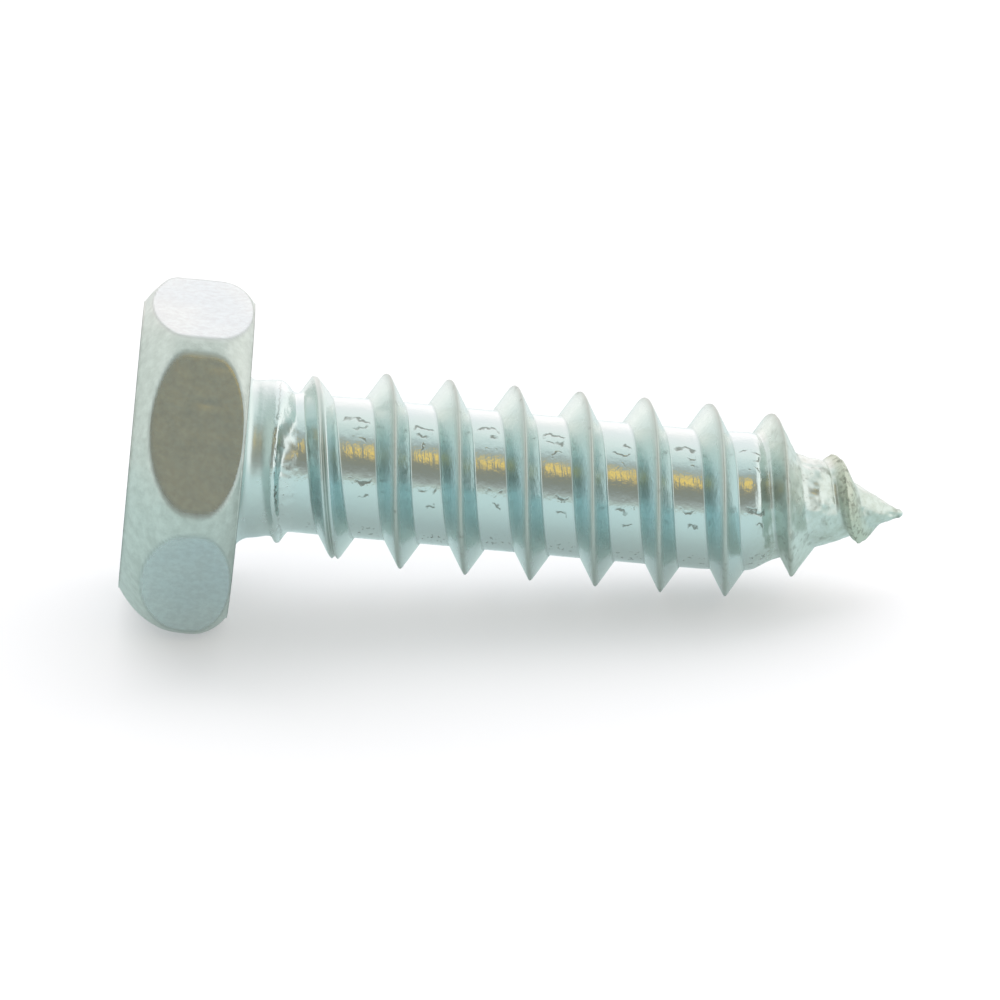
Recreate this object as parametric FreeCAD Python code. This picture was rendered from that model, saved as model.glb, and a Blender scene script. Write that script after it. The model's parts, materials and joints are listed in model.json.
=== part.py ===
"""Hex head sheet metal screw with a coarse rolled thread, lying at rest on its head and its thread.

The screw is built along X: the bearing face under the head is at x = 0, the head reaches to minus X
and the point to plus X. It is then tilted and set down, so that Z points up from what it lies on.
"""
import FreeCAD, Part
import math
import os
from FreeCAD import Vector

# Head, in millimetres
across_flats = 7.78
head_height = 2.70
corner_relief = 0.137
shoulder_length = 1.00
shoulder_drop = 0.55
bevel_length = 1.91
bevel_drop = 1.11
bevel_stand_off = 0.205
bevel_shift_up = 0.10
bevel_shift_back = 0.16

# Neck, core and point, in millimetres and degrees
shank_length = 16.30
neck_diameter = 3.86
neck_length = 0.90
neck_step_angle = 45.0
under_head_fillet = 0.30
root_diameter = 3.40
point_angle = 46.0
point_tip_radius = 0.09

# Rolled thread, in millimetres, degrees and turns
pitch = 1.60
major_diameter = 4.72
crest_land = 0.09
flank_angle = 62.0
first_crest = 0.99
first_crest_drop = 0.37
run_in_turns = 1.5
taper_length = 3.55
taper_angle = 62.0
bare_point_length = 0.40
run_out_turns = 0.35

# Fineness of the helical rails
rail_points_per_turn = 12

crown_radius = across_flats / math.sqrt(3) - corner_relief
neck_radius = neck_diameter / 2
root_radius = root_diameter / 2
crest_radius = major_diameter / 2
ridge_root_sink = (crest_radius - root_radius) / 4
flank_slope = math.tan(math.radians(flank_angle / 2))
point_half_angle = math.radians(point_angle / 2)
cone_apex = shank_length + point_tip_radius * (1 / math.sin(point_half_angle) - 1)
cone_start = cone_apex - root_radius / math.tan(point_half_angle)


def point(x, radius):
    """A point of a half section in the XZ plane."""
    return Vector(x, 0, radius)


def straight_edges(*places):
    points = [point(*place) for place in places]
    return [Part.LineSegment(a, b).toShape() for a, b in zip(points, points[1:])]


def arc_edge(start, middle, end):
    return [Part.Arc(point(*start), point(*middle), point(*end)).toShape()]


def revolved(edges):
    """Turn a closed half section round the X axis."""
    return Part.Face(Part.Wire(edges)).revolve(Vector(0, 0, 0), Vector(1, 0, 0), 360)


def crown_arc_radius(length, drop):
    """Radius of an arc that starts level and falls by drop over length."""
    return (length ** 2 + drop ** 2) / (2 * drop)


def crowned_bar(crown, level_end, face_x, length, drop):
    """Round bar at the crown radius from level_end, which then falls in an arc to face_x and goes on."""
    way = 1 if face_x > level_end else -1
    arc_radius = crown_arc_radius(length, drop)
    half_turn = math.asin(length / arc_radius) / 2
    crown_x = face_x - way * length
    rim = crown - drop
    middle = (crown_x + way * arc_radius * math.sin(half_turn), crown - arc_radius * (1 - math.cos(half_turn)))
    beyond = face_x + way * head_height
    return revolved(
        straight_edges((level_end, 0), (level_end, crown), (crown_x, crown))
        + arc_edge((crown_x, crown), middle, (face_x, rim))
        + straight_edges((face_x, rim), (beyond, rim), (beyond, 0), (level_end, 0))
    )


def head():
    """Round upset blank with six flats pressed into it: each flat ends in an oval where it meets the round.

    The shoulder by the bearing face is true to the axis. The bevel round the outer face sits off it.
    """
    corner = across_flats / math.sqrt(3)
    corners = [
        Vector(-head_height, corner * math.sin(math.radians(60 * k + 30)), corner * math.cos(math.radians(60 * k + 30)))
        for k in range(7)
    ]
    prism = Part.Face(Part.makePolygon(corners)).extrude(Vector(head_height, 0, 0))
    shoulder = crowned_bar(crown_radius, -head_height - shoulder_length, 0, shoulder_length, shoulder_drop)
    bevel = crowned_bar(crown_radius + bevel_stand_off, bevel_length, -head_height, bevel_length, bevel_drop)
    bevel.translate(Vector(0, bevel_shift_back, bevel_shift_up))
    return prism.common(shoulder).common(bevel)


def shank():
    """Fillet under the head, plain neck, step down to the thread's root, and the cone with its blunt tip."""
    fillet = under_head_fillet
    corner = fillet * (1 - math.sqrt(0.5))
    step = abs(neck_radius - root_radius) / math.tan(math.radians(neck_step_angle))
    tip = point_tip_radius
    cone_end = (shank_length - tip * (1 - math.sin(point_half_angle)), tip * math.cos(point_half_angle))
    tip_turn = (math.pi / 2 - point_half_angle) / 2
    tip_middle = (shank_length - tip * (1 - math.cos(tip_turn)), tip * math.sin(tip_turn))
    inside_head = -head_height / 2
    return revolved(
        straight_edges((inside_head, 0), (inside_head, neck_radius + fillet), (0, neck_radius + fillet))
        + arc_edge((0, neck_radius + fillet), (corner, neck_radius + corner), (fillet, neck_radius))
        + straight_edges(
            (fillet, neck_radius),
            (neck_length, neck_radius),
            (neck_length + step, root_radius),
            (cone_start, root_radius),
            cone_end,
        )
        + arc_edge(cone_end, tip_middle, (shank_length, 0))
        + straight_edges((shank_length, 0), (inside_head, 0))
    )


def core_radius(x):
    """Radius of the root cylinder, and of the cone past it."""
    return min(root_radius, (cone_apex - x) * math.tan(point_half_angle))


def turn_at(x):
    """Turns of the thread from its first crest on the underside to the place x."""
    return (x - first_crest) / pitch


def thread_marks():
    """Turns at which the ridge starts inside the neck, is full, starts to taper, fades and ends."""
    buried_drop = crest_radius - neck_radius + ridge_root_sink
    start = run_in_turns * (1 - buried_drop / first_crest_drop)
    end = turn_at(shank_length - bare_point_length)
    return [start, run_in_turns, turn_at(shank_length - taper_length), end - run_out_turns, end]


def ridge_section(turn):
    """Corners of the ridge at this turn as (x, radius): base, crest, crest, base."""
    start, full, tapers, fades, end = thread_marks()
    x = first_crest + pitch * turn
    core = core_radius(x)
    top = crest_radius
    half_root = crest_land / 2 + (crest_radius - root_radius) * flank_slope
    if turn < full:
        top -= first_crest_drop * (full - turn) / run_in_turns
    if turn > tapers:
        top -= (turn - tapers) * pitch * math.tan(math.radians(taper_angle / 2))
    if turn > fades:
        top += (core - ridge_root_sink - top) * (turn - fades) / (end - fades)
    if turn > tapers:
        half_root = crest_land / 2 + (top - core) * flank_slope
    slope = (half_root - crest_land / 2) / (top - core)
    base = max(core_radius(x + half_root) - ridge_root_sink, point_tip_radius / 3)
    half_base = crest_land / 2 + (top - base) * slope
    half_crest = crest_land / 2
    return (x - half_base, base), (x - half_crest, top), (x + half_crest, top), (x + half_base, base)


def on_turn(corner, turn):
    """Place (x, radius) at this turn: up from the underside, round the back and over, which is right-handed."""
    x, radius = corner
    angle = 2 * math.pi * turn
    return Vector(x, radius * math.sin(angle), -radius * math.cos(angle))


def ridge_piece(start, end):
    """Four ruled faces between the ridge's rails, from one turn to another."""
    steps = max(math.ceil((end - start) * rail_points_per_turn), 4)
    turns = [start + (end - start) * k / steps for k in range(steps + 1)]
    sections = [[on_turn(corner, turn) for corner in ridge_section(turn)] for turn in turns]
    rails = []
    for corner in range(4):
        rail = Part.BSplineCurve()
        rail.interpolate(Points=[section[corner] for section in sections], Parameters=turns)
        rails.append(rail.toShape())
    return [Part.makeRuledSurface(rails[k], rails[(k + 1) % 4]) for k in range(4)]


def ridge_end(turn):
    corners = [on_turn(corner, turn) for corner in ridge_section(turn)]
    return Part.Face(Part.makePolygon(corners + corners[:1]))


def thread_ridge():
    """The thread as one helical ridge, let into the neck at one end and into the cone at the other."""
    marks = thread_marks()
    faces = [ridge_end(marks[0]), ridge_end(marks[-1])]
    for start, end in zip(marks, marks[1:]):
        pieces = max(math.ceil(end - start), 1)
        stops = [start + (end - start) * k / pieces for k in range(pieces + 1)]
        for a, b in zip(stops, stops[1:]):
            faces += ridge_piece(a, b)
    shell = Part.makeShell(faces)
    shell.sewShape()
    ridge = Part.makeSolid(shell.Shells[0])
    if ridge.Volume < 0:
        ridge.reverse()
    return ridge


def rest_tilt():
    """Degrees by which the axis falls to the point, from the lower flat's near end to the last full crest."""
    flat_radius = across_flats / 2
    arc_radius = crown_arc_radius(shoulder_length, shoulder_drop)
    down_the_arc = min(crown_radius - flat_radius, shoulder_drop)
    flat_end = shoulder_length - math.sqrt(arc_radius ** 2 - (arc_radius - down_the_arc) ** 2)
    last_full_turn = math.floor(turn_at(shank_length - taper_length))
    crest_x = first_crest + pitch * last_full_turn + crest_land / 2
    return math.degrees(math.atan2(flat_radius - crest_radius, crest_x + flat_end))


def screw_at_rest():
    screw = head().fuse(shank()).fuse(thread_ridge()).removeSplitter().Solids[0]
    screw.rotate(Vector(0, 0, 0), Vector(0, 1, 0), rest_tilt())
    box = screw.optimalBoundingBox()
    screw.translate(Vector(-box.Center.x, -box.Center.y, -box.ZMin))
    return screw


os.makedirs("parts", exist_ok=True)
screw_at_rest().exportStep("parts/sheet_metal_screw.step")
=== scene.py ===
"""A zinc-plated hex head sheet metal screw lying on a pale floor.

The screw is one mesh. It is worked out round its own axis, in millimetres: along is measured from the
bearing face under the head towards the point, and round is the share of a turn from the underside, by the
back, the top and the front. It is then tilted and set down where the solid lies.
"""
import json
import math

import bmesh
import bpy
import numpy as np
from bpy.props import FloatProperty, FloatVectorProperty, IntProperty, PointerProperty
from mathutils import Matrix, Vector, noise


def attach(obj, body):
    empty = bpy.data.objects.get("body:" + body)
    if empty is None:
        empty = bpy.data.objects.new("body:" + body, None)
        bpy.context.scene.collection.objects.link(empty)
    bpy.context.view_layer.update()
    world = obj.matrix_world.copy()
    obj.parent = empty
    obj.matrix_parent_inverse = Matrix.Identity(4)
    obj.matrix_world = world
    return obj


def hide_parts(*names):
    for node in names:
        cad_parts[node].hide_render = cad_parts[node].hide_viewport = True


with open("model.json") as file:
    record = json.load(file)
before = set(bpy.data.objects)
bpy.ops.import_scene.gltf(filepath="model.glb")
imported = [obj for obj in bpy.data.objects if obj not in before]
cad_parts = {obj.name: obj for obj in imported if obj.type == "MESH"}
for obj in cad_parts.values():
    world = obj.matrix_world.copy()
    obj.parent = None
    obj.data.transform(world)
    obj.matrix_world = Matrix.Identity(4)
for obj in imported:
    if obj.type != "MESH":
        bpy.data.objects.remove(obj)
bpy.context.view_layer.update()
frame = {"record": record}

bl_info = {
    "name": "Hex Head Sheet Metal Screw",
    "version": (1, 0, 0),
    "blender": (4, 5, 0),
    "location": "3D View > Sidebar > Screw",
    "description": "Builds a rolled, zinc-plated hex head sheet metal screw and its pale stage",
    "category": "Object",
}

NODE = "sheet_metal_screw"
BEARING_MOUNT = "bearing_face"
BEARING_MOUNT_RADIUS = 3.0

# Below, sizes are in millimetres. A place with its half width is one pair: along the screw in millimetres,
# round it in shares of a turn, or on the thread in turns from the first crest on the underside. A range
# goes from where its effect is none to where it is full

# Start of the thread: its radius and half the width of its crest, both against turns
RUN_IN_START = -0.35
RUN_IN_RADII = ((-0.30, -0.12, 0.0, 0.5, 1.0, 1.4, 1.6), (1.70, 1.92, 2.05, 2.14, 2.27, 2.37, 2.50))
RUN_IN_LANDS = ((0.0, 0.5, 1.0, 1.5), (0.02, 0.05, 0.12, 0.06))
RUN_IN_LEAN = 0.35
RUN_IN_LEAN_AT = (0.5, 0.3)
# The groove that doubles the first crest
GROOVE_DEPTH = 0.08
GROOVE_HALF_WIDTH = 0.045
GROOVE_OPENS = (0.45, 0.7)
GROOVE_CLOSES = (1.5, 1.2)
# Crests, and the one that stands lower
CREST_CROWNING = 0.4
RIDGE_SOFTNESS = 0.02
ROOT_SOFTNESS = 0.016
LOW_CREST_DROP = 0.10
LOW_CREST_AT = (7.5, 0.3)
# Run-out, and the worn last ridge
RUN_OUT_DROP = 0.5
RUN_OUT_TURNS = 0.35
WORN_FORM_FROM = (7.9, 8.4)
WORN_FINISH_FROM = (7.7, 8.3)
WORN_LAND = 0.05
WORN_EDGE_DROP = 0.05
WORN_EDGE_HALF_WIDTH = 0.06
# How far the crest line strays along the screw: distance and place on the thread
STRAYS = ((-0.02, (7.5, 0.45)), (0.15, (0.0, 0.24)), (-0.10, (0.52, 0.22)), (0.065, (1.5, 0.3)))
STRAY_WAVE = 0.010
STRAY_WAVE_START = 1.0
STRAY_IN_FRONT = -0.085
STRAY_FRONT_AT = (0.70, 0.15)
STRAY_REACH = (0.78, 0.45)

# Neck, and the lap at its end, the seam, with its waves: height, waves per turn, start
NECK_SINK = 0.045
NECK_FROM_HEAD = (0.30, 0.74)
SEAM_SLANT_START = 0.31
SEAM_WAVES = ((0.012, 4, 0.6), (0.008, 9, 0.0))
LIP_RISE = 0.14
LIP_START = 0.38
LIP_CURVE = 1.8
LIP_AT = (0.76, 0.20)
STEP_LENGTH = 0.08
STEP_LENGTH_ON_TOP = 0.50
STEP_TOP_AT = (0.50, 0.17)
SHELF_RISE = 0.06
SHELF_RISES_BY = 0.06
SHELF_FALLS = (0.60, 0.15)
SHELF_AT = (0.66, 0.12)
UNDERCUT_DEPTH = 0.05
UNDERCUT_PAST_SEAM = 0.05
UNDERCUT_HALF_WIDTH = 0.035

# Cone, and the bulges of metal before and on it: height, place along, place round
CONE_SWELL = 0.07
CONE_SWELL_AT = (14.6, 0.75)
CONE_SOFTNESS = 0.08
BULGES = ((0.09, (12.75, 0.28), (0.99, 0.10)), (0.13, (14.2, 0.32), (0.50, 0.14)))
END_MARGIN = 0.05
TIP_SET_BACK = 0.03
TIP_RINGS = 5

# Where the finish changes on the shank, and where a painted reflection and painted shade lie on it
CRINKLE_PAST_SEAM = 0.27
CRINKLE_HALF_LENGTH = 0.20
CRINKLE_LEAST = 0.25
CRINKLE_AT = (0.66, 0.11)
LAST_LAND_ALONG = (13.75, 0.42)
LAST_LAND_LEAST = 0.5
LAST_LAND_AT = (0.66, 0.14)
LAST_LAND_CRINKLE = 0.7
ROUGH_END_FROM = (12.2, 13.4)
BARE_POINT_FROM = (14.9, 15.4)
# Round the front, the flanks get a bluish tint, a painted reflection, which fades towards the point
PAINTED_BLUE_REFLECTION_AT = (0.71, 0.15)
PAINTED_BLUE_REFLECTION_LOST_AT_END = 0.8
BRIGHT_LOST_AT_END = 0.6
# The lap's dark line: stain, with painted shade that is darkest on the front
SEAM_STAIN_AND_SHADE_LEAST = 0.15
SEAM_STAIN_AND_SHADE_AT = (0.73, 0.13)
LANDS_START = 1.7
LANDS_END = (13.4, 12.6)
LAND_FROM_CREST = (0.44, 0.54)
RIDGE_HEIGHT = 0.66
WORN_HEIGHT = 0.25
CREST_HALF_WIDTH = 0.085
FLANK_FROM = (-0.01, 0.03)
# Half width of the ridge's foot, where the plate is painted darker as shade
FOOT_HALF_WIDTH = 0.04
FILLET_FROM_SEAM = -0.5
FILLET_ROUNDED = 0.3
AT_TIP = {"bright": 1 - BRIGHT_LOST_AT_END, "point": 1}

# Fine, middle and broad grain: sizes, then how much of each, ending with a push outwards all over
SHANK_SEED = 1
GRAIN_SIZES = (0.15, 0.34, 0.9)
ROLLED_GRAIN = (0.0012, 0.003, 0.006, 0)
CRINKLE_GRAIN = (0.045, 0.030, 0, -0.01)
LAST_LAND_GRAIN = (0.022, 0.030, 0, 0)
ROUGH_END_GRAIN = (0.012, 0.018, 0, 0)
BARE_POINT_GRAIN = (0.014, 0, 0, -0.004)
WORN_GRAIN = (0.004, 0.014, 0, -0.008)
WORN_SMOOTHING = 0.5
CREST_NICK_DEPTH = 0.020
CREST_NICK_SHARE = 0.1
CALM_LENGTH = 0.25

# Rows of the mesh at these distances from the crest line, closer at the crest and at the ridge's foot
ROWS_FROM_CREST = (
    0.02, 0.045, 0.075, 0.12, 0.18, 0.25, 0.32, 0.38, 0.41, 0.43, 0.45, 0.48, 0.54, 0.61, 0.68, 0.74,
)
ROW_MARGIN = 0.010

# Head: the fine groove inside its rims, and the grain of its round and of its flats
RIM_DEPTH = 0.03
RIM_RINGS = 4
RIM_ROUNDED = 0.8
SIDE_RINGS = 54
BLANK_SOFTNESS = 0.10
FLAT_FROM = (-0.04, 0.05)
HEAD_SEED = 11
HEAD_GRAIN_SIZES = (0.13, 0.40)
ROUND_GRAIN = (0.004, 0.008, -0.007)
FLAT_GRAIN = (0.0010, 0.0020, -0.002)
# The two faces: their zones and their rings
OUTER_FACE = {"pressed": 0.6, "rounded": 0.4}
OUTER_FACE_RINGS = (0.99, 0.9, 0.7, 0.45, 0.2)
BEARING_FACE = {"pressed": 0.3, "rounded": 0.6}
BEARING_FACE_RINGS = (0.98, 0.75, 0.35)
FILLET_RINGS = 6
# Shallow dents on the flats: along the head and half length, share of a turn, depth
DENTS = (
    ((-0.95, 0.30), 0.636, 0.006),
    ((-0.70, 0.28), 0.602, 0.005),
    ((-1.7, 0.35), 0.170, 0.005),
    ((-1.2, 0.25), 0.345, 0.005),
)
DENT_HALF_WIDTH = 0.0035

# Edges of the mesh that are shorter than this, in metres, are taken out
SHORTEST_EDGE = 1e-7

# Where the shank leaves the head's axis, and the point the shank's
SHANK_LIFTS = (0.0, 0.4)
POINT_BENDS = (11.0, 13.6)

# Die scratches: share of a turn, reach across the land in mm, bow and half width in shares of a turn
DIE_SCRATCHES = (
    (0.565, 0.30, 0.10, 0.0050),
    (0.594, 0.24, -0.16, 0.0048),
    (0.618, 0.16, 0.20, 0.0040),
    (0.722, 0.26, -0.14, 0.0055),
    (0.752, 0.14, 0.10, 0.0040),
    (0.065, 0.28, 0.10, 0.0050),
    (0.110, 0.22, -0.16, 0.0048),
    (0.235, 0.24, -0.12, 0.0050),
    (0.400, 0.20, 0.10, 0.0045),
)
SCRATCH_CORE = 0.35
SCRATCH_FULL_REACH = 0.7
SCRATCH_RIPPLE = 0.009
SCRATCH_SHIFT_PER_TURN = 0.010
# Whole turns added, which keeps the turns above zero
TURNS_ADDED = 20.0
# Die pits: share of a turn and half width of the strip they lie in
DIE_PITS = ((0.860, 0.030), (0.925, 0.020), (0.360, 0.030), (0.170, 0.020))
# Fine lines that the dies drew, to a millimetre across the land and to a turn
ROLLING_LINES_ACROSS = 11.0
ROLLING_LINES_AROUND = 9.0
ROLLING_LINES_GRAIN = (1.0, 2.0, 0.5)

# Zones of the mesh, with their value where a part gives none
ZONES = dict.fromkeys(("bright", "crest", "flank", "blued", "foot", "seam_dark", "worn", "point"), 0)
ZONES |= dict.fromkeys(("crinkle", "pressed", "rounded", "rim", "land", "land_turn"), 0)
ZONES |= {"land_across": 9, "from_seam": 9}
# Grains of the finish: features to a metre, detail and roughness
GRAINS = {
    "fine": (11000, 4.0, 0.6),
    "coarse": (2600, 3.0, 0.6),
    "broad": (520, 2.0, 0.5),
    "speck": (6500, 2.0, 0.6),
    "mottled": (4200, 4.0, 0.65),
    "ripple": (4200, 2.0, 0.5),
    "gaps": (3000, 1.0, 0.5),
    "pits": (9500, 1.0, 0.5),
}
# Spans of a grain's values: most of them, and those over which gaps and pits open
GRAIN_SPREAD = (0.3, 0.7)
GAP_SPAN = (0.40, 0.50)
PIT_SPAN = (0.60, 0.68)
# Tints laid over the plate from first to last, a painted reflection and painted shade among them: zone, grain
# that breaks it up, span, most, colour
TINTS = (
    (None, "broad", (0.35, 0.65), 0.35, (0.70, 0.76, 0.70)),
    ("rounded", "mottled", (0.35, 0.65), 0.42, (0.40, 0.44, 0.40)),
    ("pressed", "speck", (0.35, 0.65), 0.26, (0.44, 0.45, 0.45)),
    ("rim", None, None, 0.45, (0.36, 0.38, 0.34)),
    ("flank", None, None, 0.8, (0.69, 0.76, 0.70)),
    ("point", None, None, 0.5, (0.64, 0.69, 0.61)),
    ("point", "mottled", (0.42, 0.62), 0.55, (0.46, 0.51, 0.43)),
    # Painted bluish reflection on the front flanks
    ("painted_blue_reflection_on_flanks", None, None, 1.0, (0.60, 0.74, 0.76)),
    ("crinkle", None, None, 0.6, (0.80, 0.86, 0.84)),
    # Painted shade in the corner at the ridge's foot
    ("foot", None, None, 0.25, (0.42, 0.51, 0.50)),
    ("crest", None, None, 0.7, (0.46, 0.49, 0.44)),
    ("worn", None, None, 0.7, (0.58, 0.62, 0.50)),
)
# Dirt in the finish: zone, grain that breaks it up, span, most
DIRT = (
    ("worn", "speck", (0.50, 0.64), 0.45),
    ("crest", "coarse", (0.60, 0.70), 0.35),
    ("point", "coarse", (0.58, 0.68), 0.3),
    ("crinkle", "speck", (0.60, 0.68), 0.5),
)
MARK_STAIN = 0.65
# The lap's dark line, stain in the lap and painted shade in its crevice
SEAM_LINE_PAST_SEAM = 0.045
SEAM_LINE_WAVE = 0.035
SEAM_LINE_HALF_WIDTHS = (0.030, 0.008)
SEAM_LINE_DARKNESS = 0.9
# Roughness of the rolled lands and of the neck, then of each zone from first to last
LAND_ROUGHNESS = 0.13
NECK_ROUGHNESS = 0.30
NECK_BEFORE_SEAM = (0.04, -0.10)
ROUGHNESS = (
    ("rounded", 0.40),
    ("pressed", 0.20),
    ("rim", 0.50),
    ("flank", 0.22),
    ("foot", 0.40),
    ("crinkle", 0.34),
    ("point", 0.30),
    ("rubbed", 0.50),
)
ROUGHNESS_SPREAD = (-0.03, 0.04)
STAIN_ROUGHNESS = 0.3
# Relief too fine for the mesh: how much of the grain, of the rolling lines and of the marks
ROLLED_RELIEF = 0.20
ROUND_RELIEF = 1.0
LINE_RELIEF = 0.9
MARK_RELIEF = 0.8
RELIEF_STRENGTH = 0.35
RELIEF_METRES = 0.00002

# Behind the screw, in metres, the floor is mirrored as pale as it is seen
FLOOR_PALER_BEHIND = (0.008, 0.030)
FLOOR_HALF_SIZE = 0.6
# The camera: millimetres, and metres
SENSOR_WIDTH = 36
CLIP_START = 0.001

# Colours over the room: degrees from the horizon on the viewing side, over the top, to the one behind
ROOM_ARCH = (
    (-20, (0.72, 0.79, 0.78)),
    (1, (0.64, 0.71, 0.66)),
    (10, (0.46, 0.475, 0.456)),
    (20, (0.34, 0.345, 0.315)),
    (30, (0.325, 0.32, 0.27)),
    (42, (0.36, 0.335, 0.27)),
    (62, (0.46, 0.48, 0.44)),
    (71, (0.54, 0.60, 0.60)),
    (82, (0.76, 0.86, 0.85)),
    (106, (1.00, 1.04, 1.03)),
    (136, (1.14, 1.10, 1.12)),
    (157, (1.42, 1.28, 1.30)),
    (180, (1.40, 1.34, 1.34)),
)
# Colours beside the room's arch, by the height of the direction looked in
ROOM_SIDES = (
    (-0.2, (0.80, 0.86, 0.84)),
    (0.0, (0.86, 0.92, 0.90)),
    (1.0, (1.15, 1.18, 1.18)),
)
ROOM_LEVEL = 1.5
SIDES_FROM = (0.42, 0.68)
POINT_SIDE = (1.22, 1.22, 1.20)
POINT_SIDE_FROM = (0.45, 0.75)
# Warm patch of the room: its edges over the arch in degrees, and across it
WARM_PATCH = (1.18, 0.80, 0.24)
WARM_STARTS = (37, 48)
WARM_ENDS = (64, 53)
WARM_EDGES_ACROSS = ((0.118, 0.152, 0.05), (0.34, 0.27, 0.0), (0.02, 0.06, 0.0))


def number(name, description, default, **limits):
    return FloatProperty(name=name, description=description, default=default, **limits)


def length(name, description, default):
    """A size in metres, given here in millimetres."""
    return number(name, description, default / 1000, min=0, precision=5, subtype="DISTANCE", unit="LENGTH")


def angle(name, description, default):
    """An angle, given here in degrees."""
    return number(name, description, math.radians(default), precision=2, subtype="ANGLE", unit="ROTATION")


def colour(name, description, default):
    kind = {"min": 0, "max": 4, "size": 3, "subtype": "COLOR"}
    return FloatVectorProperty(name=name, description=description, default=default, **kind)


class ScrewHeadSizes(bpy.types.PropertyGroup):
    across_flats: length("Across flats", "Distance between opposite flats", 7.72)
    height: length("Height", "From the bearing face to the outer face", 2.685)
    crown_diameter: length("Crown diameter", "Round blank before the flats are pressed", 8.71)
    drop: length("Drop", "How far the head sits below its place in the solid", 0.03)
    shoulder_length: length("Shoulder length", "Length of the round shoulder by the bearing face", 1.00)
    shoulder_drop: length("Shoulder drop", "How much the shoulder falls in radius", 0.55)
    bevel_length: length("Bevel length", "Length of the round bevel by the outer face", 1.91)
    bevel_drop: length("Bevel drop", "How much the bevel falls in radius", 1.11)
    bevel_stand_off: length("Bevel stand-off", "How far the bevel's bar is outside the blank", 0.205)
    bevel_shift_up: length("Bevel shift up", "How far the bevel is off the axis, upwards", 0.10)
    bevel_shift_back: length("Bevel shift back", "How far the bevel is off the axis, to the back", 0.16)
    edge_softness: length("Edge softness", "Rounding where a flat meets the round blank", 0.05)
    columns: IntProperty(name="Columns", description="Mesh columns round the head", default=384, min=48)


class ScrewShankSizes(bpy.types.PropertyGroup):
    length: length("Length", "From the bearing face to the tip", 16.30)
    neck_diameter: length("Neck diameter", "Plain neck under the head", 3.86)
    neck_length: length("Neck length", "Mean distance from the bearing face to the neck's end", 0.865)
    neck_slant: length("Neck slant", "How far the neck's end swings to either side of that", 0.12)
    neck_rise: length("Neck rise", "How far the neck sits above the axis of the thread", 0.08)
    shank_rise: length("Shank rise", "How far the shank sits above the axis of the head", 0.05)
    fillet: length("Fillet", "Radius between neck and bearing face", 0.30)
    root_diameter: length("Root diameter", "Core between the crests", 3.40)
    point_angle: angle("Point angle", "Whole angle of the cone", 46)
    tip_radius: length("Tip radius", "Blunt end of the point", 0.09)
    bend: length("Bend", "How far the point stands above the axis", 0.10)
    columns: IntProperty(name="Columns", description="Mesh columns round the shank", default=192, min=48)


class ScrewThreadSizes(bpy.types.PropertyGroup):
    pitch: length("Pitch", "From crest to crest", 1.60)
    major_diameter: length("Major diameter", "Outside diameter over the crests", 4.72)
    crest_land: length("Crest land", "Width of the crest", 0.045)
    flank_angle: angle("Flank angle", "Whole angle between the flanks", 62)
    first_crest: length("First crest", "From the bearing face to the first crest on the underside", 0.99)
    taper_length: length("Taper length", "From where the crest starts to fall to the tip", 3.55)
    taper_angle: angle("Taper angle", "Whole angle over the falling crests", 62)
    bare_point: length("Bare point", "Length of the point past the thread", 0.40)


class ScrewColours(bpy.types.PropertyGroup):
    plate: colour("Plate", "Bright rolled zinc on the thread and neck", (0.66, 0.76, 0.75))
    matt_plate: colour("Matt plate", "Tumbled zinc on the round of the head", (0.62, 0.67, 0.63))
    flat_plate: colour("Flat plate", "Pressed zinc on the flats", (0.59, 0.685, 0.69))
    # The stain's colour also darkens the lap's line, partly as painted shade
    stain: colour("Stain", "Brownish residue in laps and on worn crests", (0.12, 0.12, 0.09))
    floor: colour("Floor", "Pale sheet under the screw, as the metal mirrors it", (0.315, 0.425, 0.435))
    floor_seen: colour("Floor seen", "The same sheet, as the camera sees it", (0.61, 0.60, 0.62))
    floor_glow: number("Floor glow", "Light that the sheet lets through from below", 0.32, min=0, max=1)


def mm(value):
    return value * 1000


def smooth_step(value, start, end):
    t = np.clip((value - start) / (end - start), 0, 1)
    return t * t * (3 - 2 * t)


def smooth_min(a, b, width):
    h = np.clip(0.5 + 0.5 * (b - a) / width, 0, 1)
    return b * (1 - h) + a * h - width * h * (1 - h)


def smooth_max(a, b, width):
    return -smooth_min(-a, -b, width)


def bump(value, centre, width):
    return np.exp(-((value - centre) / width) ** 2)


def round_bump(share_of_turn, centre, width):
    """A bump round the screw, the same from either side of the underside."""
    away = np.abs((share_of_turn - centre + 0.5) % 1 - 0.5)
    return np.exp(-(away / width) ** 2)


def grain(points, scale, seed=0.0):
    """Smooth noise from -1 to 1 at the points, in millimetres, with features of about scale."""
    shift = Vector((seed * 7.31, seed * 3.17, seed * 5.53))
    return np.array([noise.noise(Vector(p) / scale + shift) for p in points])


def mixed_grain(grains, mix):
    """The grains, each times its own share, and the push outwards that ends the mix."""
    return sum(share * values for share, values in zip(mix, grains)) + mix[-1]


class Frame:
    """Where the screw's own axes lie: along the axis, to the back, and up across it."""

    def __init__(self):
        mount = next(m for m in frame["record"]["mounts"] if m["name"] == BEARING_MOUNT)
        self.along = Vector(mount["axis"]).normalized()
        self.back = Vector((0, 1, 0))
        self.up = self.along.cross(self.back)
        self.origin = Vector(mount["pos_m"]) - self.up * BEARING_MOUNT_RADIUS / 1000

    def place(self, points):
        """Own (along, back, up) points in millimetres to the row's metres."""
        axes = np.array([self.along, self.back, self.up])
        return np.array(self.origin) + (points @ axes) / 1000


def ring_points(along, radius, turn):
    """Points on the screw from their place along it, their radius and their share of a turn."""
    a = 2 * np.pi * turn
    return np.stack([along, radius * np.sin(a), -radius * np.cos(a)], axis=-1)


def level_ring(along, radius, turn):
    """Points of a ring at one place along the screw, with one radius or one for each column."""
    return ring_points(np.full_like(turn, along), np.broadcast_to(radius, turn.shape), turn)


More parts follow.
